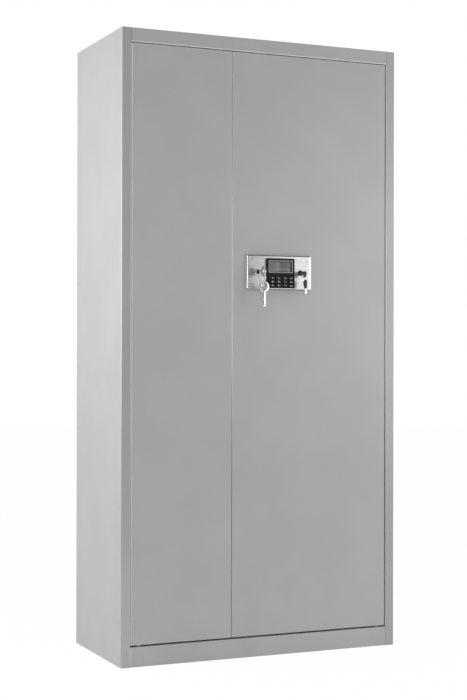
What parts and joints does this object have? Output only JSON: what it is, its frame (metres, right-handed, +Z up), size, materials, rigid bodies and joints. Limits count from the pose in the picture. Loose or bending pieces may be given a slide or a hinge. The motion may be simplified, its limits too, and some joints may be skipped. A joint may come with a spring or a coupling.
{
  "type": "metal storage cabinet",
  "caption": "Tall steel storage cabinet with a narrow and a wide hinged door, an electronic lock panel, keyed locks, latch rods and adjustable shelves.",
  "frame": {"origin": "on the floor, under the middle of the bounding box with the keys in their locks", "axes": "+Z up, the doors face -Y, +X to the right as seen from the front"},
  "size_m": [0.9, 0.4833, 1.85],
  "materials": {
    "grey_paint": "semi-gloss grey powder coat",
    "zinc_plated": "zinc plated",
    "brushed_stainless": "brushed, fairly polished stainless steel",
    "black_plastic": "satin black",
    "smoked_window": "clear window over a grey display",
    "chrome": "bright chrome",
    "nickel": "nickel plated",
    "dark_metal": "black coated metal",
    "green_board": "circuit board"
  },
  "bodies": {
    "cabinet": {"side_left": "grey_paint", "side_right": "grey_paint", "back_panel": "grey_paint", "top_panel": "grey_paint", "top_rail": "grey_paint", "bottom_deck": "grey_paint", "plinth": "grey_paint", "shelf_1": "grey_paint", "shelf_2": "grey_paint", "shelf_3": "grey_paint", "shelf_ladder_left": "grey_paint", "shelf_ladder_right": "grey_paint", "shelf_bracket_1_left": "zinc_plated", "shelf_bracket_1_right": "zinc_plated", "shelf_bracket_2_left": "zinc_plated", "shelf_bracket_2_right": "zinc_plated", "shelf_bracket_3_left": "zinc_plated", "shelf_bracket_3_right": "zinc_plated", "pivot_lower_left": "zinc_plated", "pivot_upper_left": "zinc_plated", "pivot_lower_right": "zinc_plated", "pivot_upper_right": "zinc_plated"},
    "narrow_door": {"narrow_door_panel": "grey_paint", "narrow_door_stiffener": "grey_paint"},
    "wide_door": {"wide_door_panel": "grey_paint", "wide_door_stiffener": "grey_paint", "lock_plate": "brushed_stainless", "keypad_housing": "black_plastic", "display_window": "smoked_window", "circuit_board": "green_board", "main_lock_barrel": "chrome", "emergency_lock_barrel": "dark_metal", "solenoid": "dark_metal", "lock_case": "grey_paint", "rod_guide_upper": "zinc_plated", "rod_guide_lower": "zinc_plated"},
    "main_lock": {"main_lock_cam": "zinc_plated", "main_key": "nickel"},
    "main_ring": {"main_key_ring": "chrome"},
    "main_spare": {"main_spare_key": "nickel"},
    "emergency_lock": {"emergency_lock_cam": "zinc_plated", "emergency_key": "black_plastic"},
    "emergency_ring": {"emergency_key_ring": "chrome"},
    "emergency_spare": {"emergency_spare_key": "black_plastic"},
    "upper_rod": {"rod_upper": "zinc_plated"},
    "lower_rod": {"rod_lower": "zinc_plated"},
    "bolt": {"side_bolt": "zinc_plated"},
    "plunger": {"solenoid_plunger": "zinc_plated"},
    "button_1": {"button_1": "black_plastic"},
    "button_2": {"button_2": "black_plastic"},
    "button_3": {"button_3": "black_plastic"},
    "button_clear": {"button_clear": "black_plastic"},
    "button_4": {"button_4": "black_plastic"},
    "button_5": {"button_5": "black_plastic"},
    "button_6": {"button_6": "black_plastic"},
    "button_0": {"button_0": "black_plastic"},
    "button_7": {"button_7": "black_plastic"},
    "button_8": {"button_8": "black_plastic"},
    "button_9": {"button_9": "black_plastic"},
    "button_enter": {"button_enter": "black_plastic"}
  },
  "joints": [
    {"name": "narrow_door_hinge", "type": "hinge", "parent": "cabinet", "child": "narrow_door", "pos_m": [-0.393, -0.1664, 0.0625], "axis": [0, 0, -1], "range_deg": [0, 120]},
    {"name": "wide_door_hinge", "type": "hinge", "parent": "cabinet", "child": "wide_door", "pos_m": [0.393, -0.1664, 0.0625], "axis": [0, 0, 1], "range_deg": [0, 120]},
    {"name": "main_key_turn", "type": "hinge", "parent": "wide_door", "child": "main_lock", "pos_m": [-0.0217, -0.1774, 1.1515], "axis": [0, -1, 0], "range_deg": [0, 90]},
    {"name": "upper_rod_slide", "type": "slide", "parent": "wide_door", "child": "upper_rod", "axis": [0, 0, 1], "range_m": [0, 0.01698]},
    {"name": "lower_rod_slide", "type": "slide", "parent": "wide_door", "child": "lower_rod", "axis": [0, 0, -1], "range_m": [0, 0.01697]},
    {"name": "bolt_slide", "type": "slide", "parent": "wide_door", "child": "bolt", "axis": [-1, 0, 0], "range_m": [0, 0.01698]},
    {"name": "emergency_key_turn", "type": "hinge", "parent": "wide_door", "child": "emergency_lock", "pos_m": [0.1195, -0.1774, 1.1515], "axis": [0, -1, 0], "range_deg": [0, 90]},
    {"name": "plunger_slide", "type": "slide", "parent": "wide_door", "child": "plunger", "axis": [-1, 0, 0], "range_m": [0, 0.004], "stiffness_N_per_m": 100},
    {"name": "main_ring_swing", "type": "hinge", "parent": "main_lock", "child": "main_ring", "pos_m": [-0.0217, -0.2306, 1.1459], "axis": [-0.7071, -0.7071, 0], "range_deg": [-10, 50]},
    {"name": "main_spare_swing", "type": "hinge", "parent": "main_ring", "child": "main_spare", "pos_m": [-0.0217, -0.2306, 1.1169], "axis": [-0.7071, -0.7071, 0], "range_deg": [-20, 30]},
    {"name": "emergency_ring_swing", "type": "hinge", "parent": "emergency_lock", "child": "emergency_ring", "pos_m": [0.1195, -0.2213, 1.1467], "axis": [-1, 0, 0], "range_deg": [-10, 60]},
    {"name": "emergency_spare_swing", "type": "hinge", "parent": "emergency_ring", "child": "emergency_spare", "pos_m": [0.1195, -0.2213, 1.1267], "axis": [-1, 0, 0], "range_deg": [-30, 30]},
    {"name": "button_1_press", "type": "slide", "parent": "wide_door", "child": "button_1", "axis": [0, 1, 0], "range_m": [0, 0.001], "stiffness_N_per_m": 300},
    {"name": "button_2_press", "type": "slide", "parent": "wide_door", "child": "button_2", "axis": [0, 1, 0], "range_m": [0, 0.001], "stiffness_N_per_m": 300},
    {"name": "button_3_press", "type": "slide", "parent": "wide_door", "child": "button_3", "axis": [0, 1, 0], "range_m": [0, 0.001], "stiffness_N_per_m": 300},
    {"name": "button_clear_press", "type": "slide", "parent": "wide_door", "child": "button_clear", "axis": [0, 1, 0], "range_m": [0, 0.001], "stiffness_N_per_m": 300},
    {"name": "button_4_press", "type": "slide", "parent": "wide_door", "child": "button_4", "axis": [0, 1, 0], "range_m": [0, 0.001], "stiffness_N_per_m": 300},
    {"name": "button_5_press", "type": "slide", "parent": "wide_door", "child": "button_5", "axis": [0, 1, 0], "range_m": [0, 0.001], "stiffness_N_per_m": 300},
    {"name": "button_6_press", "type": "slide", "parent": "wide_door", "child": "button_6", "axis": [0, 1, 0], "range_m": [0, 0.001], "stiffness_N_per_m": 300},
    {"name": "button_0_press", "type": "slide", "parent": "wide_door", "child": "button_0", "axis": [0, 1, 0], "range_m": [0, 0.001], "stiffness_N_per_m": 300},
    {"name": "button_7_press", "type": "slide", "parent": "wide_door", "child": "button_7", "axis": [0, 1, 0], "range_m": [0, 0.001], "stiffness_N_per_m": 300},
    {"name": "button_8_press", "type": "slide", "parent": "wide_door", "child": "button_8", "axis": [0, 1, 0], "range_m": [0, 0.001], "stiffness_N_per_m": 300},
    {"name": "button_9_press", "type": "slide", "parent": "wide_door", "child": "button_9", "axis": [0, 1, 0], "range_m": [0, 0.001], "stiffness_N_per_m": 300},
    {"name": "button_enter_press", "type": "slide", "parent": "wide_door", "child": "button_enter", "axis": [0, 1, 0], "range_m": [0, 0.001], "stiffness_N_per_m": 300}
  ],
  "couplings": [
    {"joint": "main_key_turn", "follows": "lower_rod_slide", "rad_per_m": 92.56},
    {"joint": "upper_rod_slide", "follows": "lower_rod_slide", "ratio": 1},
    {"joint": "bolt_slide", "follows": "lower_rod_slide", "ratio": 1}
  ]
}
